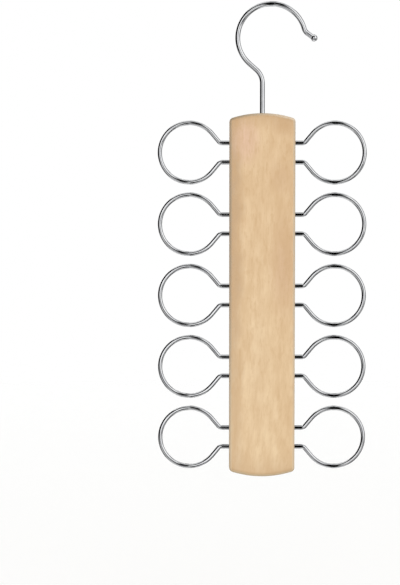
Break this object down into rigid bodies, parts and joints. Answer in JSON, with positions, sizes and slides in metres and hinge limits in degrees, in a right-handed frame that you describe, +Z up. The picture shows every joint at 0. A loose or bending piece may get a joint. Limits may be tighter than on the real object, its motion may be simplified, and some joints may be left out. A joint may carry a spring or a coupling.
{
  "type": "scarf hanger",
  "caption": "Flat wooden bar with bent wire rings along both long sides and a wire swivel hook on top, for hanging scarves, ties and belts from a closet rod.",
  "frame": {"origin": "inside top of the hook's crook, where the closet rod bears", "axes": "+Z up along the hook's shank, +X towards the open mouth of the hook, +Y towards the back of the bar"},
  "size_m": [0.1274, 0.012, 0.2895],
  "materials": {
    "wood": "pale hardwood, fine straight grain, satin clear lacquer",
    "chrome_wire": "polished chrome plate on bent steel wire",
    "steel": "turned zinc-plated steel"
  },
  "bodies": {
    "hook": {"swivel_hook": "chrome_wire", "thrust_washer": "steel"},
    "bar": {"wooden_bar": "wood", "hook_socket": "steel", "ring_left_1": "chrome_wire", "ring_left_2": "chrome_wire", "ring_left_3": "chrome_wire", "ring_left_4": "chrome_wire", "ring_left_5": "chrome_wire", "ring_right_1": "chrome_wire", "ring_right_2": "chrome_wire", "ring_right_3": "chrome_wire", "ring_right_4": "chrome_wire", "ring_right_5": "chrome_wire"}
  },
  "joints": [
    {"name": "hook_swivel", "type": "hinge", "parent": "hook", "child": "bar", "pos_m": [-0.0055, 0, -0.06461], "axis": [0, 0, 1], "continuous": true}
  ]
}
